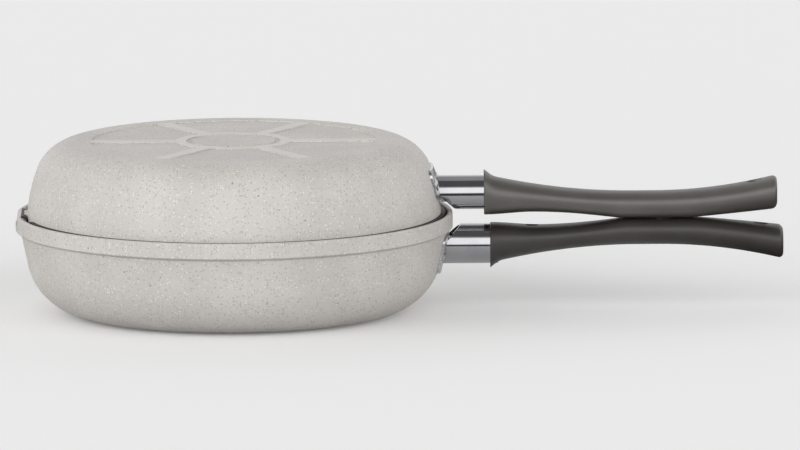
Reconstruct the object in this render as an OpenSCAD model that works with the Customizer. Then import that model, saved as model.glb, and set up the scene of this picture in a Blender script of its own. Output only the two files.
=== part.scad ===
// Double sided flip pan: two cast aluminium pans of unequal depth that close rim to rim.
// The deep pan stands on the table. The shallow pan is hinged to its rim opposite the handles.
// The origin is the centre of the deep pan's base, Z points up and X points along the handles.

/* [Pans] */
// Diameter over the deep pan's rim band
rim_d = 272; // [250:1:300]
// Height of the deep pan, base to rim
deep_h = 61.9; // [56:0.1:72]
// Height of the shallow pan, seat to base
shallow_h = 50.7; // [44:0.1:60]
// Thickness of both side walls
wall_t = 3; // [2.4:0.1:3.6]
// Thickness of both bases
base_t = 4.2; // [3.6:0.1:6]
// Radius of the deep pan's bottom corner
deep_corner_r = 38; // [30:1:42]
// Lean of the deep pan's side wall from upright
deep_lean = 12; // [8:1:15]
// Radius of the shallow pan's base corner
shallow_corner_r = 26; // [20:1:30]
// Radius of the bulge of the shallow pan's side wall
shallow_bulge_r = 100; // [90:1:120]
// Angle at which that bulge turns into the corner
shallow_turn = 21.2; // [18:0.1:24]

/* [Rim and seal] */
// Height of the band round the deep pan's rim
band_h = 10.1; // [9:0.1:13]
// How far the band stands out from the side wall
band_step = 2.94; // [2.4:0.01:3.4]
// Thickness of the lip at the top of the band
lip_t = 3; // [2.6:0.1:3.4]
// Drop from the rim's top to the shelf that the seal sits on
shelf_drop = 8.1; // [7.6:0.1:8.6]
// Chamfer on the edges of the lip and band
lip_chamfer = 0.7; // [0.3:0.1:1]
// Slope of the band's underside, from the wall out to its edge
band_slope = 1; // [0.6:0.1:1.6]
// Space between the shelf and the seal
seat_gap = 0.3; // [0.2:0.05:0.4]
// Space between the lip and the seal
flange_gap = 1.5; // [1.2:0.1:1.8]
// Width of the shallow pan's flange outside its wall
flange_w = 1.5; // [1:0.1:1.8]
// Height of the shallow pan's flange
flange_h = 3; // [2:0.1:3.2]
// Thickness of the seal round the flange's edge
seal_t = 1; // [0.8:0.1:1.4]
// Height of the seal's foot under the flange
seal_foot_h = 2.2; // [1.8:0.1:2.4]
// Width of the seal's foot
seal_foot_w = 3.5; // [3:0.1:4]
// Drop from the rim's top to the seal's top
seal_drop = 0.4; // [0.3:0.1:1]
// Clearance between the seal and the shallow pan
seal_fit = 0.05; // [0:0.05:0.1]

/* [Base pattern] */
// Depth of the pockets in both bases
pocket_depth = 0.8; // [0.4:0.1:1.2]
// Width of the rays between the pockets
ray_w = 9; // [6:0.5:12]
// Number of rays
ray_count = 6; // [4:1:8]
// Inner radius of the pockets
pocket_in_r = 36; // [33:1:42]
// Plain border of the base outside the pockets
pocket_border = 9; // [6:1:14]
// Radius of the plain disc in the middle of the base
disc_r = 26; // [20:1:29]
// Width of the groove round the disc
groove_w = 3.5; // [2:0.5:4]

/* [Hinge] */
// Distance of the hinge axis inside the rim
hinge_inset = 4.4; // [4.2:0.1:4.6]
// Distance of the hinge axis below the rim's top
hinge_drop = 2.8; // [2.6:0.1:3]
// Radius of the knuckles
knuckle_r = 3.6; // [3.3:0.1:3.8]
// Length of the middle knuckle, on the shallow pan
knuckle_len = 18; // [14:1:24]
// Length of each outer knuckle, on the deep pan
ear_len = 8; // [6:0.5:10]
// Side gap between knuckles
knuckle_gap = 0.3; // [0.2:0.1:0.5]
// Radius of the hinge pin
pin_r = 1.5; // [1.2:0.1:1.7]
// Radial running clearance round the pin
pin_clearance = 0.05; // [0.02:0.01:0.09]
// Radius of the pin's head and of its retaining ring
pin_head_r = 2.6; // [2.3:0.1:2.8]
// Thickness of the pin's head
pin_head_t = 1.2; // [0.8:0.1:1.4]
// Thickness of the retaining ring
clip_t = 0.8; // [0.6:0.1:1]
// Stub of the pin past its retaining ring
pin_stub = 0.4; // [0.2:0.1:0.6]
// Side gap between the pin's ends and the window in the rim
window_gap = 0.8; // [0.5:0.1:1.5]
// Gap between the outer knuckles and the shallow pan's wall
relief_gap = 0.4; // [0.3:0.1:0.6]
// Half width over which the flange and the seal stop at the hinge, to swing past the lip
hinge_break = 34; // [34:1:40]

/* [Brackets and rivets] */
// Thickness of the bracket plate on the wall
plate_t = 1.6; // [1.2:0.1:2]
// Width of the bracket plate
plate_w = 44; // [42:1:48]
// Corner radius of the bracket plate
plate_corner_r = 5; // [3:0.5:7]
// Top of the deep pan's plate below the rim
deep_plate_top = 13; // [12.5:0.5:15]
// Height of the deep pan's plate
deep_plate_h = 24; // [20:0.5:25]
// Top of the shallow pan's plate above the rim
shallow_plate_top = 28; // [26:0.5:30]
// Height of the shallow pan's plate
shallow_plate_h = 19; // [17:0.5:22]
// Distance between a plate's two rivets
rivet_pitch = 33.4; // [33:0.1:34]
// Radius of a rivet's shank
rivet_r = 2.2; // [1.8:0.1:2.2]
// Radius of a rivet's heads
rivet_head_r = 4; // [3.5:0.1:4.4]
// Height of a rivet's heads
rivet_head_h = 1.5; // [1:0.1:1.8]
// Width of the tang in the handle
tang_w = 14; // [11:0.5:14.5]
// Thickness of the tang
tang_t = 4; // [3:0.5:5]
// Distance of the tang's middle from the plane between the handles
tang_offset = 13.5; // [13:0.1:14]
// Length of the tang inside the grip
tang_in_grip = 38; // [34:1:42]

/* [Ferrules] */
// Diameter of the deep pan's ferrule
deep_ferrule_d = 25; // [23:0.1:25.4]
// Distance of its axis from the plane between the handles
deep_ferrule_offset = 15.6; // [15.4:0.1:16]
// Diameter of the shallow pan's ferrule
shallow_ferrule_d = 21.2; // [20.6:0.1:22.5]
// Distance of its axis from the plane between the handles
shallow_ferrule_offset = 16.6; // [16.2:0.1:16.8]
// Wall of the ferrules
ferrule_t = 1; // [0.8:0.1:1.2]
// Gap between a ferrule's mitred corner and the rim
mitre_gap = 2.2; // [1:0.1:2.5]
// Depth of the socket in the grip that takes the ferrule
socket_depth = 5; // [3:0.5:8]
// Radial clearance of a piece that fits into the grip
fit_clearance = 0.1; // [0.05:0.05:0.2]

/* [Grips] */
// Length of a grip
grip_len = 182.4; // [165:0.1:200]
// Front of the deep pan's grip beyond the rim
deep_grip_start = 23.2; // [20:0.1:28]
// Front of the shallow pan's grip beyond the rim
shallow_grip_start = 19.5; // [18:0.1:28]
// Height of the plane between the handles below the rim's top
parting_drop = 5; // [4:0.1:6]
// Gap between the two grips where they meet
grip_gap = 0.3; // [0.2:0.1:0.6]
// Thickness of a grip at its waist
waist_h = 16.4; // [15:0.1:18]
// Width of a grip at its waist
waist_w = 25; // [22:0.5:28]
// Rise of the outer face towards the front
front_rise = 11; // [10.6:0.1:12.5]
// Rise of the outer face towards the tail
tail_rise = 9.5; // [7:0.1:11]
// Rise of the inner face at the front
front_gap = 2.6; // [1.8:0.1:2.8]
// Highest rise of the inner face in front of the contact
arch_gap = 4.2; // [3:0.1:4.8]
// Rise of the inner face at the tail
tail_gap = 5.4; // [4:0.1:6.5]
// Extra width at the front
front_w = 6; // [5.5:0.5:8]
// Extra width at the tail
tail_w = 5; // [3:0.5:7]
// Height of the finger guard at the front
guard_h = 3.2; // [2:0.1:4]
// Length over which the finger guard fades
guard_len = 7; // [5:0.5:10]
// Rounding of the tail's edges
tail_round = 3.5; // [2.5:0.1:4.5]

/* [Screws, magnets and hanging holes] */
// Distance of the grip screw from the grip's front
screw_place = 26; // [22:0.5:29]
// Radius of the screw's shank
screw_r = 2; // [1.5:0.1:2.4]
// Radius of the screw's head
screw_head_r = 3.8; // [3.2:0.1:4.2]
// Height of the screw's head
screw_head_h = 2.4; // [1.8:0.1:2.8]
// Thickness of the washer under the head
washer_t = 0.8; // [0.5:0.1:1]
// Grip left between the washer and the tang
screw_land = 3; // [2.5:0.1:3.4]
// Distance of the magnets from the hinge axis, so that both meet
magnet_place = 398; // [392:1:404]
// Radius of a magnet
magnet_r = 5; // [4:0.5:6]
// Thickness of a magnet
magnet_h = 3; // [2:0.5:4]
// Wall of the steel cup round the magnet
cup_t = 1; // [0.6:0.1:1.4]
// Distance of the hanging hole from the tail's end
hang_inset = 14; // [12:0.5:18]
// Radius of the hanging hole
hang_r = 4.5; // [3.5:0.1:5.5]
// Width of the flat ring round the hanging hole
hang_flat = 2.5; // [1.5:0.1:3]
// Depth of the flat ring
hang_depth = 1; // [0.6:0.1:1.4]

/* [Hidden] */
$fn = 96;

// Colours of the finishes
coat = "#c6c1b7";
chrome = "#b9babd";
steel = "#9c9da0";
phenolic = "#3a3634";
silicone = "#1d1c1c";
magnet_grey = "#6f7175";

// Reach of a cutting shape past what it cuts
eps = 0.5;
// Reach of a shape into the wall that it grows from
root = 1;

// Rim of the deep pan
rim_r = rim_d / 2;
band_bottom = deep_h - band_h;
shelf_z = deep_h - shelf_drop;
lip_in_r = rim_r - lip_t;

// Side of the deep pan: its corner arc, then a straight lean up to the band
deep_wall_top_r = rim_r - band_step;
deep_turn_z = deep_corner_r * (1 - sin(deep_lean));
deep_base_r = deep_wall_top_r - (band_bottom - deep_turn_z) * tan(deep_lean)
    - deep_corner_r * cos(deep_lean);

// Seal on the shallow pan's flange, and the flange's seat on it
seal_r = lip_in_r - flange_gap;
seal_low = shelf_z + seat_gap;
seal_top = deep_h - seal_drop;
seat_z = seal_low + seal_foot_h;
flange_r = seal_r - seal_t;
shallow_wall_r = flange_r - flange_w;
top_z = seat_z + shallow_h;

// Side of the shallow pan: a large bulging arc, then its corner arc
corner_z = top_z - shallow_corner_r;
bulge_z = corner_z - (shallow_bulge_r - shallow_corner_r) * sin(shallow_turn);
bulge_x = shallow_wall_r - sqrt(pow(shallow_bulge_r, 2) - pow(seat_z - bulge_z, 2));
shallow_base_r = bulge_x + (shallow_bulge_r - shallow_corner_r) * cos(shallow_turn);

// Hinge axis, along Y
hinge_x = hinge_inset - rim_r;
hinge_z = deep_h - hinge_drop;
bore_r = pin_r + pin_clearance;
ear_start = knuckle_len / 2 + knuckle_gap;
ear_end = ear_start + ear_len;
pin_end = ear_end + clip_t + pin_stub;
window_half = ear_end + max(pin_head_t, clip_t + pin_stub) + window_gap;
// Clear radius round the axis in the rim, just above the shelf
window_land = 0.1;
window_r = shelf_drop - hinge_drop - window_land;
// Clear radius round the outer knuckles in the shallow pan
relief_r = knuckle_r + relief_gap;
// Height of the outer knuckles' foot along the band
ear_step_h = 2.3;

// Handle plane and stations
parting_z = deep_h - parting_drop;
deep_grip_x = rim_r + deep_grip_start;
shallow_grip_x = rim_r + shallow_grip_start;
magnet_x = hinge_x + magnet_place;

// Shares of the grip's length where its curves start and end
waist_start = 0.5;
waist_end = 0.58;
arch_top = 0.165;
contact_start = 0.46;
contact_end = 0.70;
// Roundness of the grip's section: 2 is an ellipse, more is boxier
section_power = 2.5;
ring_sides = 24;
ring_step = 7;
tail_rings = 4;
// How fast the finger guard fades and the inner face rises to the tail
guard_power = 1.5;
tail_power = 1.15;

// Places of the screw, its head and its washer, from the parting plane outwards
washer_z = tang_offset - tang_t / 2 - screw_land - washer_t;

// Outer radius of each pan's wall at a height
function deep_r(z) = deep_base_r + deep_corner_r * cos(deep_lean)
    + (z - deep_turn_z) * tan(deep_lean);
function shallow_r(z) = bulge_x + sqrt(pow(shallow_bulge_r, 2) - pow(z - bulge_z, 2));
// Tilt of the shallow pan's wall at a height
function shallow_tilt(z) = asin((z - bulge_z) / shallow_bulge_r);

// Half profile of the deep pan's outside, grown by g, filled to the axis
module deep_outline(g) {
    r = deep_corner_r + g;
    turn = [deep_base_r + r * cos(deep_lean), deep_corner_r - r * sin(deep_lean)];
    top_r = turn[0] + (band_bottom - turn[1]) * tan(deep_lean);
    translate([0, -g]) square([deep_base_r, band_bottom + g]);
    intersection() {
        translate([deep_base_r, deep_corner_r]) circle(r);
        translate([0, -g]) square([rim_r * 2, turn[1] + g]);
    }
    polygon([[0, turn[1]], turn, [top_r, band_bottom], [0, band_bottom]]);
}

// Half profile of the shallow pan's outside, grown by g, filled to the axis down to a skirt
// below the seat
module shallow_outline(g, skirt = 0) {
    low = seat_z - skirt;
    turn_z = corner_z + (shallow_corner_r + g) * sin(shallow_turn);
    translate([0, low]) square([shallow_base_r, shallow_h + skirt + g]);
    intersection() {
        translate([shallow_base_r, corner_z]) circle(shallow_corner_r + g);
        translate([0, turn_z]) square([rim_r, shallow_h]);
    }
    intersection() {
        translate([bulge_x, bulge_z]) circle(shallow_bulge_r + g);
        translate([0, low]) square([rim_r * 2, turn_z - low]);
    }
}

// Half profile of the rim band with its shelf and lip
module band_profile() {
    low = band_bottom - band_slope;
    inner = deep_wall_top_r - wall_t - root;
    polygon([
        [inner, low],
        [deep_r(low) - root, low],
        [deep_r(low), low],
        [rim_r - lip_chamfer, band_bottom],
        [rim_r, band_bottom + lip_chamfer],
        [rim_r, deep_h - lip_chamfer],
        [rim_r - lip_chamfer, deep_h],
        [lip_in_r + lip_chamfer, deep_h],
        [lip_in_r, deep_h - lip_chamfer],
        [lip_in_r, shelf_z],
        [inner, shelf_z]
    ]);
}

module deep_shell() {
    rotate_extrude() difference() {
        union() {
            deep_outline(0);
            band_profile();
        }
        intersection() {
            union() {
                deep_outline(-wall_t);
                translate([0, band_bottom - eps])
                    square([deep_r(band_bottom) - wall_t / cos(deep_lean), band_h + eps * 2]);
            }
            translate([0, base_t]) square([rim_r, deep_h]);
        }
    }
}

module shallow_shell() {
    rotate_extrude() difference() {
        shallow_outline(0);
        intersection() {
            shallow_outline(-wall_t, eps);
            translate([0, seat_z - eps]) square([rim_r, shallow_h - base_t + eps]);
        }
    }
}

// Pockets between the rays of a base, and the groove round its middle disc
module base_pockets(outer_r) {
    linear_extrude(pocket_depth + eps) {
        difference() {
            circle(outer_r);
            circle(pocket_in_r);
            for (i = [0 : ray_count - 1])
                rotate(i * 360 / ray_count) translate([0, -ray_w / 2]) square([outer_r * 2, ray_w]);
        }
        difference() {
            circle(disc_r + groove_w);
            circle(disc_r);
        }
    }
}

// A rod along the hinge axis between two places on it
module hinge_rod(r, from, to) {
    translate([hinge_x, from, hinge_z]) rotate([-90, 0, 0]) cylinder(r = r, h = to - from);
}

// Moves a child from the X axis to a place on a wall, its X axis outwards
module on_wall(r, z, tilt, turn) {
    rotate([0, 0, turn]) translate([r, 0, z]) rotate([0, -tilt, 0]) children();
}

module rivet_holes(r, z, tilt) {
    turn = asin(rivet_pitch / 2 / r);
    for (side = [-1, 1])
        on_wall(r, z, tilt, side * turn) rotate([0, 90, 0])
            cylinder(r = rivet_r, h = wall_t * 4, center = true);
}

// Heights and tilts of the rivets, in the middle of each plate
deep_rivet_z = deep_h - deep_plate_top - deep_plate_h / 2;
shallow_rivet_z = deep_h + shallow_plate_top - shallow_plate_h / 2;
deep_rivet_wall = deep_r(deep_rivet_z);
shallow_rivet_wall = shallow_r(shallow_rivet_z);
shallow_rivet_tilt = shallow_tilt(shallow_rivet_z);

module deep_pan() {
    color(coat) difference() {
        union() {
            difference() {
                deep_shell();
                hinge_rod(window_r, -window_half, window_half);
            }
            intersection() {
                for (side = [0, 1]) mirror([0, side, 0]) hinge_ear();
                cylinder(r = rim_r, h = deep_h * 2);
            }
        }
        hinge_rod(bore_r, -ear_end - eps, ear_end + eps);
        rivet_holes(deep_rivet_wall, deep_rivet_z, -deep_lean);
        translate([0, 0, -eps]) base_pockets(deep_base_r - pocket_border);
    }
}

// One outer knuckle with the foot that joins it to the shelf and the band
module hinge_ear() {
    hinge_rod(knuckle_r, ear_start, ear_end);
    translate([hinge_x - knuckle_r, ear_start, shelf_z - root])
        cube([knuckle_r, ear_len, hinge_z - shelf_z + root]);
    translate([hinge_x - hinge_inset, ear_start, shelf_z - root])
        cube([hinge_inset, ear_len, ear_step_h + root]);
}

module shallow_pan() {
    color(coat) difference() {
        union() {
            shallow_shell();
            shallow_flange();
            hinge_rod(knuckle_r, -knuckle_len / 2, knuckle_len / 2);
            translate([hinge_x, -knuckle_len / 2, seat_z])
                cube([hinge_inset, knuckle_len, hinge_z + knuckle_r - seat_z]);
        }
        for (side = [0, 1]) mirror([0, side, 0])
            hinge_rod(relief_r, knuckle_len / 2, window_half + eps);
        hinge_rod(bore_r, -knuckle_len / 2 - eps, knuckle_len / 2 + eps);
        rivet_holes(shallow_rivet_wall, shallow_rivet_z, shallow_rivet_tilt);
        translate([0, 0, top_z - pocket_depth]) base_pockets(shallow_base_r - pocket_border);
    }
}

// Block over the hinge, where the flange and the seal are left off
module hinge_block() {
    translate([-rim_r, -hinge_break, shelf_z])
        cube([rim_r / 2, hinge_break * 2, shelf_drop + eps]);
}

// Flange that holds the seal
module shallow_flange() {
    difference() {
        translate([0, 0, seat_z]) difference() {
            cylinder(r = flange_r, h = flange_h);
            translate([0, 0, -eps]) cylinder(r = shallow_wall_r - wall_t / 2, h = flange_h + eps * 2);
        }
        hinge_block();
    }
}

// Open silicone ring that wraps the flange's edge, its ends beside the hinge
module rim_seal() {
    color(silicone) difference() {
        rotate_extrude() difference() {
            union() {
                translate([seal_r - seal_foot_w, seal_low]) square([seal_foot_w, seal_foot_h - seal_fit]);
                translate([shallow_wall_r - wall_t / 2, seat_z - seal_fit])
                    square([seal_r - shallow_wall_r + wall_t / 2, seal_top - seat_z + seal_fit]);
            }
            intersection() {
                shallow_outline(seal_fit, root);
                translate([0, seat_z - seal_fit]) square([rim_r, shallow_h]);
            }
            translate([0, seat_z - seal_fit]) square([flange_r + seal_fit, flange_h + seal_fit * 2]);
        }
        hinge_block();
    }
}

module hinge_pin() {
    color(steel) {
        hinge_rod(pin_r, -ear_end - pin_head_t / 2, pin_end);
        hinge_rod(pin_head_r, -ear_end - pin_head_t, -ear_end);
    }
}

module hinge_pin_clip() {
    color(steel) difference() {
        hinge_rod(pin_head_r, ear_end, ear_end + clip_t);
        hinge_rod(pin_r, ear_end - eps, ear_end + clip_t + eps);
    }
}

// Rounded outline of a bracket plate, standing in the YZ plane and pushed through the wall
module plate_prism(height) {
    half_w = plate_w / 2 - plate_corner_r;
    half_h = height / 2 - plate_corner_r;
    rotate([90, 0, 90]) linear_extrude(rim_r) {
        square([half_w * 2, height], center = true);
        square([plate_w, half_h * 2], center = true);
        for (y = [-half_w, half_w], z = [-half_h, half_h])
            translate([y, z]) circle(plate_corner_r);
    }
}

// Tang of a bracket, from inside its plate into the grip
module tang(wall_r, z, to) {
    from = wall_r + plate_t / 2;
    translate([from, -tang_w / 2, z - tang_t / 2]) cube([to - from, tang_w, tang_t]);
}

// Hole in a tang for the grip screw's thread
module tang_hole(start, z) {
    translate([start + screw_place, 0, z]) cylinder(r = screw_r, h = tang_t * 2, center = true);
}

// Plate that lies on the deep pan's leaning wall
module deep_plate() {
    low = deep_rivet_z - deep_plate_h;
    reach = plate_t / cos(deep_lean);
    intersection() {
        rotate_extrude() polygon([
            [deep_r(low), low], [deep_r(low) + reach, low],
            [deep_r(band_bottom) + reach, band_bottom], [deep_r(band_bottom), band_bottom]
        ]);
        translate([0, 0, deep_rivet_z]) plate_prism(deep_plate_h);
    }
}

// Plate that lies on the shallow pan's bulging wall
module shallow_plate() {
    intersection() {
        rotate_extrude() intersection() {
            translate([bulge_x, bulge_z]) difference() {
                circle(shallow_bulge_r + plate_t);
                circle(shallow_bulge_r);
            }
            translate([shallow_base_r, seat_z]) square([rim_r, shallow_h]);
        }
        translate([0, 0, shallow_rivet_z]) plate_prism(shallow_plate_h);
    }
}

module deep_bracket() {
    tang_z = parting_z - tang_offset;
    color(steel) difference() {
        union() {
            deep_plate();
            tang(deep_r(tang_z), tang_z, deep_grip_x + tang_in_grip);
        }
        rivet_holes(deep_rivet_wall, deep_rivet_z, -deep_lean);
        tang_hole(deep_grip_x, tang_z);
    }
}

module shallow_bracket() {
    tang_z = parting_z + tang_offset;
    color(steel) difference() {
        union() {
            shallow_plate();
            tang(shallow_r(tang_z), tang_z, shallow_grip_x + tang_in_grip);
        }
        rivet_holes(shallow_rivet_wall, shallow_rivet_z, shallow_rivet_tilt);
        tang_hole(shallow_grip_x, tang_z);
    }
}

// A rivet along X through the plate and the wall: flat head inside the pan, domed head outside
module rivet() {
    dome_r = (pow(rivet_head_r, 2) + pow(rivet_head_h, 2)) / (2 * rivet_head_h);
    rotate([0, 90, 0]) {
        translate([0, 0, -wall_t - rivet_head_h]) cylinder(r = rivet_head_r, h = rivet_head_h);
        translate([0, 0, -wall_t - rivet_head_h / 2])
            cylinder(r = rivet_r, h = wall_t + plate_t + rivet_head_h);
        intersection() {
            translate([0, 0, plate_t + rivet_head_h - dome_r]) sphere(dome_r);
            translate([0, 0, plate_t]) cylinder(r = rivet_head_r * 2, h = rivet_head_h * 2);
        }
    }
}

module rivet_pair(r, z, tilt) {
    turn = asin(rivet_pitch / 2 / r);
    for (side = [-1, 1]) on_wall(r, z, tilt, side * turn) rivet();
}

module deep_rivets() {
    color(steel) rivet_pair(deep_rivet_wall, deep_rivet_z, -deep_lean);
}

module shallow_rivets() {
    color(steel) rivet_pair(shallow_rivet_wall, shallow_rivet_z, shallow_rivet_tilt);
}

// A ferrule tube along X
module ferrule_tube(d, z, from, to) {
    translate([from, 0, z]) rotate([0, 90, 0]) difference() {
        cylinder(d = d, h = to - from);
        translate([0, 0, -eps]) cylinder(d = d - ferrule_t * 2, h = to - from + eps * 2);
    }
}

// Space that a mitred corner leaves round the edge of the rim
module mitre(z, angle) {
    reach = rim_r / 4;
    translate([rim_r, 0, z]) rotate([0, angle, 0]) translate([-reach, -reach, -reach])
        cube([reach + mitre_gap, reach * 2, reach * 2]);
}

module deep_ferrule() {
    z = parting_z - deep_ferrule_offset;
    color(chrome) difference() {
        ferrule_tube(deep_ferrule_d, z, deep_rivet_wall - wall_t, deep_grip_x + socket_depth);
        rotate_extrude() deep_outline(plate_t);
        mitre(band_bottom, 45);
    }
}

module shallow_ferrule() {
    z = parting_z + shallow_ferrule_offset;
    color(chrome) difference() {
        ferrule_tube(shallow_ferrule_d, z, shallow_rivet_wall - wall_t * 2,
            shallow_grip_x + socket_depth);
        rotate_extrude() shallow_outline(plate_t);
        mitre(deep_h, -45);
    }
}

// Outer and inner faces of a grip, from the parting plane outwards, at a share u of its length
function guard(u) = guard_h * pow(max(0, 1 - u * grip_len / guard_len), guard_power);
function flare(u, front, tail) = u < waist_start ? front * pow(1 - u / waist_start, 2)
    : u > waist_end ? tail * pow((u - waist_end) / (1 - waist_end), 2)
    : 0;
function outer_face(u) = grip_gap / 2 + waist_h + flare(u, front_rise, tail_rise) + guard(u);
function ease(t) = t * t * (3 - 2 * t);
function inner_face(u) = grip_gap / 2
    + (u < arch_top ? front_gap + (arch_gap - front_gap) * ease(u / arch_top)
    : u < contact_start ? arch_gap * cos(90 * (u - arch_top) / (contact_start - arch_top))
    : u > contact_end ? tail_gap * pow((u - contact_end) / (1 - contact_end), tail_power)
    : 0);
// How far the rounded tail draws the section in
function drawn_in(s) = s < grip_len - tail_round ? 0
    : tail_round * (1 - sqrt(max(0, 1 - pow((s - grip_len + tail_round) / tail_round, 2))));
function signed_pow(v, p) = sign(v) * pow(abs(v), p);
// One ring of the grip's section at a distance s from its front
function grip_ring(s) = let(
        u = s / grip_len,
        mid = (outer_face(u) + inner_face(u)) / 2,
        half_h = (outer_face(u) - inner_face(u)) / 2 - drawn_in(s),
        half_w = (waist_w + flare(u, front_w, tail_w)) / 2 - drawn_in(s)
    ) [
        for (i = [0 : ring_sides - 1]) let(a = i * 360 / ring_sides) [
            s,
            half_w * signed_pow(cos(a), 2 / section_power),
            mid + half_h * signed_pow(sin(a), 2 / section_power)
        ]
    ];
// Distances of the rings: close at the guard, even along the grip, close round the tail
ring_places = concat(
    [0, guard_len / 3, guard_len * 2 / 3],
    [for (s = [guard_len : ring_step : grip_len - tail_round - ring_step / 3]) s],
    [for (i = [0 : tail_rings]) grip_len - tail_round * (1 - sin(i * 90 / tail_rings))]
);

// The solid of a grip along X from its front, Z outwards from the parting plane
module grip_blank() {
    n = ring_sides;
    last = len(ring_places) - 1;
    points = [for (s = ring_places) each grip_ring(s)];
    sides = [
        for (k = [0 : last - 1], i = [0 : n - 1]) let(j = (i + 1) % n)
            [k * n + i, k * n + j, (k + 1) * n + j, (k + 1) * n + i]
    ];
    front = [[for (i = [n - 1 : -1 : 0]) i]];
    tail = [[for (i = [0 : n - 1]) last * n + i]];
    polyhedron(points = points, faces = concat(sides, front, tail));
}

// A grip with its socket, tang pocket, screw hole, magnet pocket and hanging hole
module grip(start, ferrule_d, ferrule_offset) {
    hang_s = grip_len - hang_inset;
    hang_u = hang_s / grip_len;
    hang_low = inner_face(hang_u) + hang_depth;
    hang_high = outer_face(hang_u) - hang_depth;
    magnet_s = magnet_x - start;
    cup_h = magnet_h + cup_t;
    color(phenolic) translate([start, 0, 0]) difference() {
        grip_blank();
        translate([-eps, 0, ferrule_offset]) rotate([0, 90, 0])
            cylinder(d = ferrule_d + fit_clearance * 2, h = socket_depth + eps);
        translate([-eps, -tang_w / 2 - fit_clearance, tang_offset - tang_t / 2 - fit_clearance])
            cube([tang_in_grip + eps * 2, tang_w + fit_clearance * 2, tang_t + fit_clearance * 2]);
        translate([screw_place, 0, 0]) {
            cylinder(r = screw_r + fit_clearance, h = tang_offset + tang_t);
            cylinder(r = screw_head_r + fit_clearance * 2, h = washer_z + washer_t);
        }
        translate([magnet_s, 0, -eps])
            cylinder(r = magnet_r + cup_t + fit_clearance, h = grip_gap / 2 + cup_h + eps);
        translate([hang_s, 0, -eps]) {
            cylinder(r = hang_r, h = waist_h * 3);
            cylinder(r = hang_r + hang_flat, h = hang_low + eps);
            translate([0, 0, hang_high]) cylinder(r = hang_r + hang_flat, h = waist_h);
        }
    }
}

// Screw with its head towards the parting plane and its shank through the tang
module grip_screw() {
    color(steel) translate([screw_place, 0, 0]) {
        difference() {
            translate([0, 0, washer_z - screw_head_h]) cylinder(r = screw_head_r, h = screw_head_h);
            translate([0, 0, washer_z - screw_head_h - eps])
                cylinder(r = screw_head_r / 2, h = screw_head_h / 2 + eps, $fn = 6);
        }
        translate([0, 0, washer_z - screw_head_h / 4])
            cylinder(r = screw_r, h = tang_offset + tang_t / 2 - washer_z + screw_head_h / 4);
    }
}

module screw_washer() {
    color(steel) translate([screw_place, 0, washer_z]) difference() {
        cylinder(r = screw_head_r, h = washer_t);
        translate([0, 0, -eps]) cylinder(r = screw_r + fit_clearance, h = washer_t + eps * 2);
    }
}

// Magnet and its steel cup, both flush with the grip's inner face
module magnet() {
    color(magnet_grey) translate([magnet_x, 0, grip_gap / 2])
        cylinder(r = magnet_r, h = magnet_h);
}

module magnet_cup() {
    color(steel) translate([magnet_x, 0, grip_gap / 2]) difference() {
        cylinder(r = magnet_r + cup_t, h = magnet_h + cup_t);
        translate([0, 0, -eps]) cylinder(r = magnet_r, h = magnet_h + eps);
    }
}

// Places a handle piece on the shallow pan's side or, turned over, on the deep pan's side
module on_shallow() {
    translate([0, 0, parting_z]) children();
}

module on_deep() {
    translate([0, 0, parting_z]) mirror([0, 0, 1]) children();
}

module deep_grip() {
    on_deep() grip(deep_grip_x, deep_ferrule_d, deep_ferrule_offset);
}

module shallow_grip() {
    on_shallow() grip(shallow_grip_x, shallow_ferrule_d, shallow_ferrule_offset);
}

module deep_grip_screw() {
    on_deep() translate([deep_grip_x, 0, 0]) grip_screw();
}

module shallow_grip_screw() {
    on_shallow() translate([shallow_grip_x, 0, 0]) grip_screw();
}

module deep_screw_washer() {
    on_deep() translate([deep_grip_x, 0, 0]) screw_washer();
}

module shallow_screw_washer() {
    on_shallow() translate([shallow_grip_x, 0, 0]) screw_washer();
}

module deep_magnet() {
    on_deep() magnet();
}

module shallow_magnet() {
    on_shallow() magnet();
}

module deep_magnet_cup() {
    on_deep() magnet_cup();
}

module shallow_magnet_cup() {
    on_shallow() magnet_cup();
}

deep_pan();
shallow_pan();
rim_seal();
hinge_pin();
hinge_pin_clip();
deep_bracket();
shallow_bracket();
deep_rivets();
shallow_rivets();
deep_ferrule();
shallow_ferrule();
deep_grip();
shallow_grip();
deep_grip_screw();
shallow_grip_screw();
deep_screw_washer();
shallow_screw_washer();
deep_magnet();
shallow_magnet();
deep_magnet_cup();
shallow_magnet_cup();
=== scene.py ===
"""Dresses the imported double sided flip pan: finishes, smooth grips, light, floor and camera."""
import math

import bmesh
import bpy
from mathutils import Matrix, Vector


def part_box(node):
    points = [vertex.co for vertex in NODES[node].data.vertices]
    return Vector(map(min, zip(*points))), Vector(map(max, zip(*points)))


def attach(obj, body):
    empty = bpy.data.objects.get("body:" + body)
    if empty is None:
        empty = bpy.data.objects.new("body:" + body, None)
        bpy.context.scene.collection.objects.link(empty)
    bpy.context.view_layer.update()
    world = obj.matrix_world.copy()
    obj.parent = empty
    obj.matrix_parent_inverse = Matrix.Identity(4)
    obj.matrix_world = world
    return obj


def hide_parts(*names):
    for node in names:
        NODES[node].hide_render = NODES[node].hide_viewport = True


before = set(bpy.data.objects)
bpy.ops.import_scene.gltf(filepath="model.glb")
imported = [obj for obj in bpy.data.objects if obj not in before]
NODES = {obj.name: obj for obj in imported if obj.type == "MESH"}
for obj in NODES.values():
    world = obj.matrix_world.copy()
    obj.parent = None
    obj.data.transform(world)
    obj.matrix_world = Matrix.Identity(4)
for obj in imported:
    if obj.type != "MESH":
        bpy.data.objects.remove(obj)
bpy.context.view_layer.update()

MM = 0.001


def box_mm(node):
    """Lowest and highest corner of a CAD node, in millimetres."""
    low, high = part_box(node)
    return Vector(low) / MM, Vector(high) / MM


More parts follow.
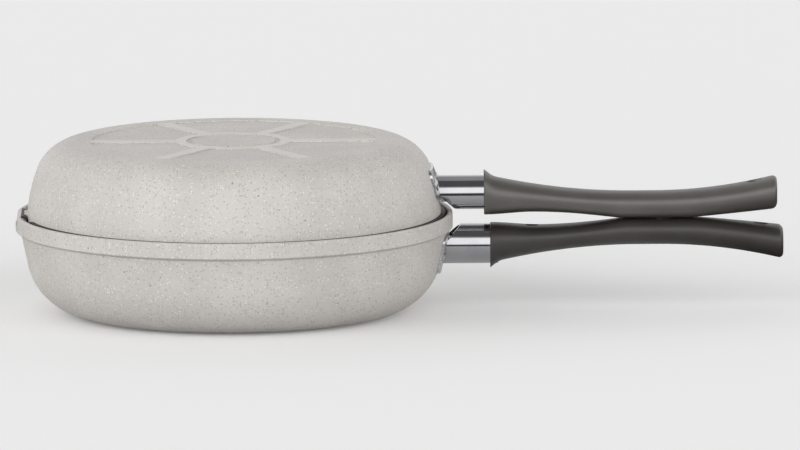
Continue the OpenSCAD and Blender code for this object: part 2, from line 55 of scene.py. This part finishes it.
def centre_mm(node):
    """Middle of a CAD node's box, in millimetres."""
    low, high = box_mm(node)
    return (low + high) / 2


def radius_mm(node):
    """Half the width of a CAD node along Y, in millimetres."""
    low, high = box_mm(node)
    return (high.y - low.y) / 2


def linear(*srgb):
    """A linear colour from sRGB values of 0 to 255."""
    parts = [v / 255 for v in srgb]
    return tuple(v / 12.92 if v <= 0.04045 else ((v + 0.055) / 1.055) ** 2.4 for v in parts) + (1.0,)


def shaded(shade, change):
    """An sRGB shade made paler or darker by a number of levels."""
    return [v + change for v in shade]


BLACK = (0.0, 0.0, 0.0, 1.0)
WHITE = (1.0, 1.0, 1.0, 1.0)


class Nodes:
    """The node tree of a material or a world, under construction."""

    def __init__(self, owner):
        owner.use_nodes = True
        self.tree = owner.node_tree

    def node(self, kind, inputs=(), **settings):
        """A new node with its settings, its inputs linked or set."""
        made = self.tree.nodes.new(kind)
        for key, value in settings.items():
            setattr(made, key, value)
        for key, value in dict(inputs).items():
            self.feed(made.inputs[key], value)
        return made

    def feed(self, socket, value):
        """Links a socket to another node's output, or sets its value."""
        if isinstance(value, bpy.types.NodeSocket):
            self.tree.links.new(value, socket)
        else:
            socket.default_value = value

    def math(self, operation, a, b=0.0, c=0.0):
        return self.node("ShaderNodeMath", {0: a, 1: b, 2: c}, operation=operation).outputs[0]

    def length(self, a, b):
        """Length of the hypotenuse over two sides."""
        return self.math("SQRT", self.math("ADD", self.math("POWER", a, 2.0), self.math("POWER", b, 2.0)))

    def span(self, value, low, high, to_low=0.0, to_high=1.0):
        """value mapped from low..high to to_low..to_high, smoothly and clamped."""
        made = self.node("ShaderNodeMapRange", {0: value, 1: low, 2: high, 3: to_low, 4: to_high},
                         interpolation_type="SMOOTHSTEP")
        return made.outputs[0]


class Shader(Nodes):
    """A node material under construction."""

    def __init__(self, name, roughness, metallic=0.0):
        self.material = bpy.data.materials.new(name)
        super().__init__(self.material)
        self.bsdf = self.tree.nodes["Principled BSDF"]
        self.bsdf.inputs["Roughness"].default_value = roughness
        self.bsdf.inputs["Metallic"].default_value = metallic
        self.place = self.node("ShaderNodeTexCoord").outputs["Object"]

    def mix(self, share, a, b):
        """Colour a, with a share of colour b in its place."""
        made = self.node("ShaderNodeMix", data_type="RGBA")
        self.feed(made.inputs["Factor"], share)
        self.feed(made.inputs["A"], a)
        self.feed(made.inputs["B"], b)
        return made.outputs["Result"]

    def noise(self, scale, detail=2.0, roughness=0.5, place=None):
        """Noise of about 0 to 1, with scale waves to the metre."""
        made = self.node("ShaderNodeTexNoise", {"Vector": place or self.place, "Scale": scale,
                                                "Detail": detail, "Roughness": roughness})
        return made.outputs["Fac"]

    def tint(self, dark, pale, scale, detail=2.0, contrast=0.2):
        """A colour that drifts between two sRGB shades."""
        share = self.span(self.noise(scale, detail), 0.5 - contrast, 0.5 + contrast)
        return self.mix(share, linear(*dark), linear(*pale))

    def gloss(self, grain, low, high, contrast=0.2):
        """A roughness that follows a grain between two values."""
        return self.span(grain, 0.5 - contrast, 0.5 + contrast, low, high)

    def worn(self, radius):
        """Normal that rounds sharp edges to a radius in metres."""
        return self.node("ShaderNodeBevel", {"Radius": radius}, samples=6).outputs[0]

    def bump(self, height, depth, strength=0.5, normal=None):
        """Normal bumped by a height of 0 to 1, which is depth metres high at 1."""
        made = self.node("ShaderNodeBump", {"Height": height, "Strength": strength, "Distance": depth})
        if normal is not None:
            self.feed(made.inputs["Normal"], normal)
        return made.outputs["Normal"]

    def finish(self, colour, roughness=None, normal=None):
        """The material, with what is given fed into its shader."""
        for key, value in (("Base Color", colour), ("Roughness", roughness), ("Normal", normal)):
            if value is not None:
                self.feed(self.bsdf.inputs[key], value)
        return self.material


# Base pattern in millimetres: its rays, the ring round its middle disc, how deep the paler face
# reaches, and how far the rays reach on each pan
RAY_COUNT = 6
RAY_W = 9.0
RING_IN, RING_OUT = 29.5, 36.0
BASE_SKIN = 0.05
DEEP_RAY_REACH, SHALLOW_RAY_REACH = 82.3, 89.0
# Painted shade on the knuckles in millimetres, black where the gap round the hinge lies in shadow: reach
# round the hinge axis, half length, and reach outwards past the axis
HINGE_PIN = centre_mm("hinge_pin")
KNUCKLE_R = 3.75
HINGE_HALF = 17.6
HINGE_SHADE_OVERHANG = 0.8
# sRGB shades of the coating where it is darkest and palest, of its rays, which show by RAY_SHARE,
# and of the painted shade on the knuckles
COAT_DARK, COAT_PALE = (203, 199, 195), (211, 207, 202)
RAY_SHADE, RAY_SHARE = (226, 223, 218), 0.75
KNUCKLE_PAINTED_SHADE = (34, 33, 33)
# Specks: size of their cells in metres, share of the cells that hold one, radius as a share of
# the cell, and sRGB shade
SPECKS = (
    (0.0019, 0.36, 0.42, (187, 181, 175)),
    (0.0023, 0.20, 0.38, (200, 184, 178)),
    (0.0015, 0.34, 0.44, (227, 224, 219)),
    (0.0011, 0.28, 0.42, (172, 166, 160)),
    (0.0032, 0.07, 0.19, (140, 133, 127)),
)
# Smallest speck, the range above it and the soft edge, as shares of a speck's radius
SPECK_LEAST, SPECK_RANGE, SPECK_EDGE = 0.5, 0.6, 0.3
# Radius to which the edges of the coating and of the steel are worn, in metres
COATING_EDGE, STEEL_EDGE = 0.0006, 0.0003
# How many times finer a steel's grain is across Y and Z than along X
STEEL_GRAIN = (1.0, 18.0, 18.0)
RESIN_IOR = 1.6


def speckles(s, cell, share, size):
    """A mask of specks: at most one in each cell, in a share of the cells."""
    voronoi = s.node("ShaderNodeTexVoronoi", {"Vector": s.place, "Scale": 1 / cell})
    pick = s.node("ShaderNodeSeparateColor", {"Color": voronoi.outputs["Color"]})
    chosen = s.math("LESS_THAN", pick.outputs[0], share)
    reach = s.math("MULTIPLY_ADD", pick.outputs[1], size * SPECK_RANGE, size * SPECK_LEAST)
    edge = s.math("SUBTRACT", reach, voronoi.outputs["Distance"])
    return s.math("MULTIPLY", chosen, s.span(edge, 0.0, size * SPECK_EDGE))


def ray_mask(s, xyz, reach):
    """1 on the base's rays and on the ring round its middle disc."""
    radius = s.length(xyz[0], xyz[1])
    angle = s.math("ARCTAN2", xyz[1], xyz[0])
    turned = s.math("PINGPONG", angle, math.pi / RAY_COUNT)
    across = s.math("MULTIPLY", radius, s.math("SINE", turned))
    outside = s.math("GREATER_THAN", radius, RING_IN * MM)
    on_ray = s.math("MULTIPLY", s.math("LESS_THAN", across, RAY_W / 2 * MM),
                    s.math("LESS_THAN", radius, reach * MM))
    on_ring = s.math("LESS_THAN", radius, RING_OUT * MM)
    return s.math("MULTIPLY", outside, s.math("MAXIMUM", on_ray, on_ring))


def knuckle_painted_shade_mask(s, xyz):
    """1 on the inner side of the knuckles round the hinge axis, where black is painted as shade."""
    across = s.math("SUBTRACT", xyz[0], HINGE_PIN.x * MM)
    rise = s.math("SUBTRACT", xyz[2], HINGE_PIN.z * MM)
    near = s.math("LESS_THAN", s.length(across, rise), KNUCKLE_R * MM)
    beside = s.math("LESS_THAN", s.math("ABSOLUTE", xyz[1]), HINGE_HALF * MM)
    inside = s.math("GREATER_THAN", across, -HINGE_SHADE_OVERHANG * MM)
    return s.math("MULTIPLY", s.math("MULTIPLY", beside, inside), near)


def stone_coat(name, base_z, ray_reach):
    """Satin stone-effect coating: warm grey with specks, rays paler, hinge knuckles painted black as shade.
    """
    s = Shader(name, roughness=0.5)
    colour = s.tint(COAT_DARK, COAT_PALE, scale=26, detail=3.0, contrast=0.15)
    for cell, share, size, shade in SPECKS:
        colour = s.mix(speckles(s, cell, share, size), colour, linear(*shade))
    xyz = s.node("ShaderNodeSeparateXYZ", {0: s.place}).outputs
    depth = s.math("ABSOLUTE", s.math("SUBTRACT", xyz[2], base_z * MM))
    rays = s.math("MULTIPLY", ray_mask(s, xyz, ray_reach), s.math("LESS_THAN", depth, BASE_SKIN * MM))
    colour = s.mix(s.math("MULTIPLY", rays, RAY_SHARE), colour, linear(*RAY_SHADE))
    # Painted shade: the knuckles are black so that the hinge reads as the shadowed gap at the rim's end
    colour = s.mix(knuckle_painted_shade_mask(s, xyz), colour, linear(*KNUCKLE_PAINTED_SHADE))
    grain = s.noise(scale=900, detail=3.0, roughness=0.6)
    dimples = s.bump(s.noise(scale=240), depth=0.00012, normal=s.worn(COATING_EDGE))
    normal = s.bump(grain, depth=0.00004, strength=0.6, normal=dimples)
    return s.finish(colour, s.gloss(grain, low=0.46, high=0.62, contrast=0.3), normal)


def chrome():
    """Polished chrome with faint wiping marks."""
    s = Shader("chrome", roughness=0.07, metallic=1.0)
    wiping = s.noise(scale=400, roughness=0.6)
    colour = s.tint((168, 168, 171), (178, 178, 181), scale=60, detail=3.0)
    return s.finish(colour, s.gloss(wiping, low=0.05, high=0.10))


def brushed_steel(name, shade):
    """Steel with a fine grain along X."""
    s = Shader(name, roughness=0.28, metallic=1.0)
    along = s.node("ShaderNodeMapping", {"Vector": s.place, "Scale": STEEL_GRAIN}).outputs[0]
    grain = s.noise(scale=160, detail=4.0, roughness=0.7, place=along)
    colour = s.tint(shaded(shade, -14), shade, scale=90)
    normal = s.bump(grain, depth=0.00002, strength=0.4, normal=s.worn(STEEL_EDGE))
    return s.finish(colour, s.gloss(grain, low=0.2, high=0.36), normal)


def phenolic(name, shade, shine):
    """Satin dark warm grey resin with a faint leathery grain."""
    s = Shader(name, roughness=0.45)
    s.bsdf.inputs["IOR"].default_value = RESIN_IOR
    s.bsdf.inputs["Specular IOR Level"].default_value = shine
    fine = s.noise(scale=1400, detail=3.0, roughness=0.6)
    colour = s.tint(shaded(shade, -5), shaded(shade, 5), scale=34, detail=3.0)
    leather = s.bump(s.noise(scale=520), depth=0.00005)
    normal = s.bump(fine, depth=0.00002, normal=leather)
    return s.finish(colour, s.gloss(fine, low=0.4, high=0.5, contrast=0.25), normal)


def silicone():
    """Matte black rubber of the seal."""
    s = Shader("silicone", roughness=0.6)
    fine = s.noise(scale=1800)
    colour = s.tint((26, 25, 25), (38, 37, 36), scale=50)
    return s.finish(colour, s.gloss(fine, low=0.52, high=0.68), s.bump(fine, depth=0.00002))


def dress(material, *nodes):
    """Gives CAD nodes a finish."""
    for name in nodes:
        mesh = NODES[name].data
        mesh.materials.clear()
        mesh.materials.append(material)


# Grips: heights in millimetres from the parting plane outwards, distances in millimetres from
# the grip's front, and places along it as shares of its length
GRIP_LOW, GRIP_HIGH = box_mm("shallow_grip")
GRIP_LEN = GRIP_HIGH.x - GRIP_LOW.x
HALF_GAP = (GRIP_LOW.z - box_mm("deep_grip")[1].z) / 2
PARTING_Z = GRIP_LOW.z - HALF_GAP
# Waist: height, width and place, and the growth from there to the front and to the tail
WAIST_H = 16.4
WAIST_W = 25.0
WAIST = (0.5, 0.58)
FRONT_RISE, TAIL_RISE = 11.0, 9.5
FRONT_WIDER, TAIL_WIDER = 6.0, 5.0
# Guard at the front of the outer face: height, length and power of its curve
GUARD_H, GUARD_LEN, GUARD_POWER = 3.2, 7.0, 1.5
# Inner face: places of the arch's top and of the contact, and its gaps from the contact's plane
ARCH_TOP, CONTACT_START, CONTACT_END = 0.165, 0.46, 0.70
FRONT_GAP, ARCH_GAP, TAIL_GAP, TAIL_POWER = 2.6, 4.2, 5.4, 1.15
# Rounding of both ends, power of the section's curve, and how fine the rings are
TAIL_ROUND, FRONT_ROUND = 3.5, 0.7
SECTION_POWER = 2.5
GRIP_SIDES = 72
RING_STEP = 1.6
ROUND_RINGS = 7
# Faces that meet at a larger angle keep a sharp edge, in degrees
SHARP_ANGLE = 34


def flare(u, front, tail):
    """Growth of the grip towards its front and tail, at a share u of its length."""
    if u < WAIST[0]:
        return front * (1 - u / WAIST[0]) ** 2
    if u > WAIST[1]:
        return tail * ((u - WAIST[1]) / (1 - WAIST[1])) ** 2
    return 0.0


def outer_face(u):
    """Height of the outer face at a share u of the grip's length."""
    guard = GUARD_H * max(0.0, 1 - u * GRIP_LEN / GUARD_LEN) ** GUARD_POWER
    return HALF_GAP + WAIST_H + flare(u, FRONT_RISE, TAIL_RISE) + guard


def inner_face(u):
    """Height of the inner face: an arch in front, the contact with the other grip, a rise to the tail."""
    rise = 0.0
    if u < ARCH_TOP:
        t = u / ARCH_TOP
        rise = FRONT_GAP + (ARCH_GAP - FRONT_GAP) * t * t * (3 - 2 * t)
    elif u < CONTACT_START:
        rise = ARCH_GAP * math.cos(math.pi / 2 * (u - ARCH_TOP) / (CONTACT_START - ARCH_TOP))
    elif u > CONTACT_END:
        rise = TAIL_GAP * ((u - CONTACT_END) / (1 - CONTACT_END)) ** TAIL_POWER
    return HALF_GAP + rise


def drawn_in(past, reach):
    """How far a rounded end draws the section in, at a distance past the start of its rounding."""
    t = min(max(past / reach, 0.0), 1.0)
    return reach * (1 - math.sqrt(1 - t * t))


def grip_stations():
    """Distances of the rings: close round both ends, even between."""
    turns = [math.sin(math.pi / 2 * i / ROUND_RINGS) for i in range(ROUND_RINGS + 1)]
    tail = GRIP_LEN - TAIL_ROUND
    count = round((tail - FRONT_ROUND) / RING_STEP)
    even = [FRONT_ROUND + (tail - FRONT_ROUND) * i / count for i in range(1, count)]
    return [FRONT_ROUND * (1 - t) for t in reversed(turns)] + even + [tail + TAIL_ROUND * t for t in turns]


def grip_ring(reach):
    """One ring of the grip's section at a distance, as points (along, across, outwards)."""
    u = reach / GRIP_LEN
    inset = drawn_in(reach - GRIP_LEN + TAIL_ROUND, TAIL_ROUND) + drawn_in(FRONT_ROUND - reach, FRONT_ROUND)
    low, high = inner_face(u), outer_face(u)
    half_h = (high - low) / 2 - inset
    half_w = (WAIST_W + flare(u, FRONT_WIDER, TAIL_WIDER)) / 2 - inset
    power = 2 / SECTION_POWER
    points = []
    for i in range(GRIP_SIDES):
        turn = 2 * math.pi * i / GRIP_SIDES
        x, z = math.cos(turn), math.sin(turn)
        points.append((reach, half_w * math.copysign(abs(x) ** power, x),
                       (high + low) / 2 + half_h * math.copysign(abs(z) ** power, z)))
    return points


def lofted(name, rings):
    """A closed solid through rings of points, with flat ends."""
    mesh = bpy.data.meshes.new(name)
    count = len(rings[0])
    last = (len(rings) - 1) * count
    faces = [(k * count + i, k * count + (i + 1) % count, (k + 1) * count + (i + 1) % count,
              (k + 1) * count + i) for k in range(len(rings) - 1) for i in range(count)]
    faces += [tuple(reversed(range(count))), tuple(range(last, last + count))]
    mesh.from_pydata([p for ring in rings for p in ring], [], faces)
    made = bmesh.new()
    made.from_mesh(mesh)
    bmesh.ops.recalc_face_normals(made, faces=made.faces)
    made.to_mesh(mesh)
    made.free()
    piece = bpy.data.objects.new(name, mesh)
    bpy.context.scene.collection.objects.link(piece)
    return piece


def circle(radius):
    """Points round a circle, as (x, y)."""
    turns = [2 * math.pi * i / HOLE_SIDES for i in range(HOLE_SIDES)]
    return [(radius * math.cos(a), radius * math.sin(a)) for a in turns]


def bored(radius, start, end, place, along="Z"):
    """A round tool from start to end along an axis through a place."""
    rings = []
    for reach in (start, end):
        ring = [(x, y, reach) if along == "Z" else (reach, x, y) for x, y in circle(radius)]
        rings.append([tuple(v + w for v, w in zip(p, place)) for p in ring])
    return lofted("bore", rings)


def slab(low, high):
    """A box between two corners."""
    corners = [(low[1], low[2]), (high[1], low[2]), (high[1], high[2]), (low[1], high[2])]
    return lofted("slab", [[(x, *c) for c in corners] for x in (low[0], high[0])])


def cut_out(piece, tools):
    """Cuts tools out of a piece, and removes them."""
    for tool in tools:
        step = piece.modifiers.new("cut", "BOOLEAN")
        step.operation, step.object, step.solver = "DIFFERENCE", tool, "EXACT"
    graph = bpy.context.evaluated_depsgraph_get()
    mesh = bpy.data.meshes.new_from_object(piece.evaluated_get(graph))
    piece.modifiers.clear()
    piece.data = mesh
    for tool in tools:
        bpy.data.objects.remove(tool)


# What a grip holds, in millimetres: the ferrule's socket, and the play round each piece and
# round the screw's head
SOCKET_DEPTH = 5.0
FIT = 0.1
HEAD_FIT = 0.2
# Tang: width, thickness, height of its middle over the parting plane, and length in the grip
TANG_W, TANG_T, TANG_Z, TANG_LEN = 14.0, 4.0, 13.5, 38.0
# Screw's radius, and the height that its head's recess reaches
SCREW_R, SCREW_LAND = 2.0, 8.5
# Hanging hole: distance to the tail, radius and rounding of its edge, and the tool's flare outside
# the face as a share of that rounding
HANG_INSET, HANG_R, HANG_EDGE = 14.0, 4.5, 1.2
HANG_FLARE = 1.4
EDGE_STEPS = 5
# Corners of a round tool, and how far tools reach past a face or past the tang's tip
HOLE_SIDES = 64
PAST = 0.5


def hanging_hole():
    """Tool for a hole through the tail whose rounded edges follow the slope of both faces."""
    u = 1 - HANG_INSET / GRIP_LEN
    step = PAST / GRIP_LEN
    turns = [math.pi / 2 * i / EDGE_STEPS for i in range(EDGE_STEPS + 1)]
    rings = []
    for face, way in ((inner_face, 1), (outer_face, -1)):
        slope = (face(u + step) - face(u - step)) / (2 * PAST)
        flared = [(HANG_R + HANG_EDGE * HANG_FLARE, -way * HANG_EDGE, slope)]
        flared += [(HANG_R + HANG_EDGE * (1 - math.sin(t)), way * HANG_EDGE * (1 - math.cos(t)),
                    slope * math.cos(t)) for t in turns]
        side = [(r, face(u) + reach, tilt) for r, reach, tilt in flared]
        rings += side if way > 0 else side[::-1]
    middle = GRIP_LEN - HANG_INSET
    return lofted("hole", [[(middle + x, y, z + tilt * x) for x, y in circle(r)] for r, z, tilt in rings])


def grip_tools(half, start, side):
    """Tools for a grip's socket, tang slot, screw hole and recess, magnet seat and hanging hole."""
    ferrule_r = radius_mm(half + "_ferrule") + FIT
    ferrule_z = side * (centre_mm(half + "_ferrule").z - PARTING_Z)
    screw_x = centre_mm(half + "_grip_screw").x - start
    head_r = radius_mm(half + "_grip_screw") + HEAD_FIT
    cup_low, cup_high = box_mm(half + "_magnet_cup")
    cup_r = radius_mm(half + "_magnet_cup") + FIT
    cup_h = cup_high.z - cup_low.z
    cup_x = centre_mm(half + "_magnet_cup").x - start
    return [
        bored(ferrule_r, -PAST, SOCKET_DEPTH, (0, 0, ferrule_z), "X"),
        slab((-PAST, -TANG_W / 2 - FIT, TANG_Z - TANG_T / 2 - FIT),
             (TANG_LEN + PAST, TANG_W / 2 + FIT, TANG_Z + TANG_T / 2 + FIT)),
        bored(SCREW_R + FIT, 0.0, TANG_Z + TANG_T, (screw_x, 0, 0)),
        bored(head_r, 0.0, SCREW_LAND, (screw_x, 0, 0)),
        bored(cup_r, -PAST, HALF_GAP + cup_h, (cup_x, 0, 0)),
        hanging_hole(),
    ]


def make_grip(half, finish):
    """The grip of one pan: a swept resin body with its real holes."""
    start = box_mm(half + "_grip")[0].x
    side = 1 if half == "shallow" else -1
    grip = lofted(half + "_grip_body", [grip_ring(reach) for reach in grip_stations()])
    cut_out(grip, grip_tools(half, start, side))
    grip.data.transform(Matrix.Translation((start * MM, 0, PARTING_Z * MM))
                        @ Matrix.Diagonal((MM, MM, side * MM, 1)))
    if side < 0:
        grip.data.flip_normals()
    grip.data.shade_smooth()
    grip.data.set_sharp_from_angle(angle=math.radians(SHARP_ANGLE))
    grip.data.materials.clear()
    grip.data.materials.append(finish)
    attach(grip, half + "_half")
    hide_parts(half + "_grip")


dress(stone_coat("stone_deep", box_mm("deep_pan")[0].z, DEEP_RAY_REACH), "deep_pan")
dress(stone_coat("stone_shallow", box_mm("shallow_pan")[1].z, SHALLOW_RAY_REACH), "shallow_pan")
dress(chrome(), "deep_ferrule", "shallow_ferrule")
dress(brushed_steel("bright_steel", (208, 208, 210)), "deep_bracket", "shallow_bracket",
      "deep_rivets", "shallow_rivets")
dress(brushed_steel("plated_steel", (186, 187, 190)), "hinge_pin", "hinge_pin_clip", "deep_grip_screw",
      "shallow_grip_screw", "deep_screw_washer", "shallow_screw_washer")
# Painted shade: the magnet cups are near black so that they sink into the shadow of the gap between the
# grips
dress(brushed_steel("black_steel", (66, 66, 68)), "deep_magnet_cup", "shallow_magnet_cup")
dress(brushed_steel("nickel", (198, 197, 192)), "deep_magnet", "shallow_magnet")
dress(silicone(), "rim_seal")
# One resin for both grips: the deep grip's is painted darker and duller as shade, the shallow grip's paler
# and glossier as a painted highlight
make_grip("deep", phenolic("resin_deep_painted_shade", shade=(45, 41, 38), shine=0.56))
make_grip("shallow", phenolic("resin_shallow_painted_highlight", shade=(72, 68, 63), shine=1.0))

# Camera: elevation and roll in radians, distance and aim in metres
VIEW_ELEVATION = math.radians(8.4)
VIEW_ROLL = math.radians(-0.4)
VIEW_DISTANCE = 12.0
VIEW_TARGET = Vector((103.2, 0.0, 53.0)) * MM
VIEW_CLIP = (0.1, 60.0)
# Width of the photograph in pixels, its pixels to the millimetre, and its width at the object in metres
PHOTO_W = 800
PHOTO_SCALE = 1.6066
VIEW_WIDTH = PHOTO_W / PHOTO_SCALE * MM
# Studio round the object: strength of the pale wall and of the ceiling, and the sines of the
# elevations between which one turns into the other
WALL, CEILING = 0.97, 0.14
WALL_TOP = (math.sin(math.radians(32)), math.sin(math.radians(50)))
# Soft lights in the studio: degrees round from the camera towards +X, elevation, reach and strength
SOFT_LIGHTS = (
    (-55, 17, 36, 1.5),
    (-3, 20, 22, 0.85),
    (48, 16, 34, 1.0),
    (-150, 62, 32, 0.35),
)
# Share of a soft light's reach that has its full strength
LIGHT_CORE = 0.6
# Floor's half width and its place just under the object, in metres
FLOOR_HALF = 6.0
FLOOR_Z = -0.0002
# Floor as it is seen, as it lights the object, the glow that lifts what is seen, and its faint shine
FLOOR_SEEN = linear(247, 247, 247)
FLOOR_LIT = linear(206, 206, 206)
FLOOR_GLOW = 0.12
FLOOR_SHINE = 0.1
# Metres to where the floor that glossy surfaces show turns dim, and its loss before and after that
FLOOR_FADE = (0.25, 0.33)
FLOOR_LOSS = (0.18, 0.95)


def floor_finish():
    """A plain pale finish, which turns dim far off where glossy surfaces show it."""
    s = Shader("pale_floor", roughness=0.9)
    s.bsdf.inputs["Specular IOR Level"].default_value = FLOOR_SHINE
    s.bsdf.inputs["Emission Color"].default_value = WHITE
    rays = s.node("ShaderNodeLightPath").outputs
    mirrored = s.math("MAXIMUM", rays["Is Glossy Ray"], rays["Is Transmission Ray"])
    seen = s.math("MAXIMUM", rays["Is Camera Ray"], mirrored)
    reach = s.node("ShaderNodeVectorMath", {0: s.place}, operation="LENGTH").outputs["Value"]
    fade = s.math("MULTIPLY", rays["Is Glossy Ray"], s.span(reach, *FLOOR_FADE, *FLOOR_LOSS))
    glow = s.math("MULTIPLY", s.math("MULTIPLY", seen, FLOOR_GLOW), s.math("SUBTRACT", 1.0, fade))
    s.feed(s.bsdf.inputs["Emission Strength"], glow)
    return s.finish(s.mix(fade, s.mix(seen, FLOOR_LIT, FLOOR_SEEN), BLACK))


def make_floor():
    """The floor that the pan stands on."""
    mesh = bpy.data.meshes.new("floor")
    signs = ((-1, -1), (1, -1), (1, 1), (-1, 1))
    mesh.from_pydata([(x * FLOOR_HALF, y * FLOOR_HALF, FLOOR_Z) for x, y in signs], [], [(0, 1, 2, 3)])
    mesh.materials.append(floor_finish())
    floor = bpy.data.objects.new("floor", mesh)
    bpy.context.scene.collection.objects.link(floor)


def make_world():
    """A pale studio with a dark ceiling and soft round lights."""
    world = bpy.data.worlds.new("studio")
    w = Nodes(world)
    direction = w.node("ShaderNodeTexCoord").outputs["Generated"]
    height = w.node("ShaderNodeSeparateXYZ", {0: direction}).outputs["Z"]
    light = w.span(height, *WALL_TOP, WALL, CEILING)
    for azimuth, elevation, reach, strength in SOFT_LIGHTS:
        turn, rise = math.radians(azimuth), math.radians(elevation)
        towards = (math.sin(turn) * math.cos(rise), -math.cos(turn) * math.cos(rise), math.sin(rise))
        near = w.node("ShaderNodeVectorMath", {0: direction, 1: towards}, operation="DOT_PRODUCT")
        edge = math.cos(math.radians(reach))
        core = math.cos(math.radians(reach * LIGHT_CORE))
        light = w.math("ADD", light, w.span(near.outputs["Value"], edge, core, 0.0, strength))
    background = w.tree.nodes["Background"]
    background.inputs["Color"].default_value = WHITE
    w.feed(background.inputs["Strength"], light)
    bpy.context.scene.world = world


def make_camera():
    """A camera far off, as the photograph shows hardly any perspective."""
    data = bpy.data.cameras.new("camera")
    data.lens = data.sensor_width * VIEW_DISTANCE / VIEW_WIDTH
    data.clip_start, data.clip_end = VIEW_CLIP
    camera = bpy.data.objects.new("camera", data)
    bpy.context.scene.collection.objects.link(camera)
    back = Vector((0.0, -math.cos(VIEW_ELEVATION), math.sin(VIEW_ELEVATION)))
    turn = Matrix.Rotation(math.pi / 2 - VIEW_ELEVATION, 4, "X") @ Matrix.Rotation(VIEW_ROLL, 4, "Z")
    camera.matrix_world = Matrix.Translation(VIEW_TARGET + back * VIEW_DISTANCE) @ turn
    bpy.context.scene.camera = camera


make_floor()
make_world()
make_camera()
bpy.context.scene.view_settings.view_transform = "Standard"
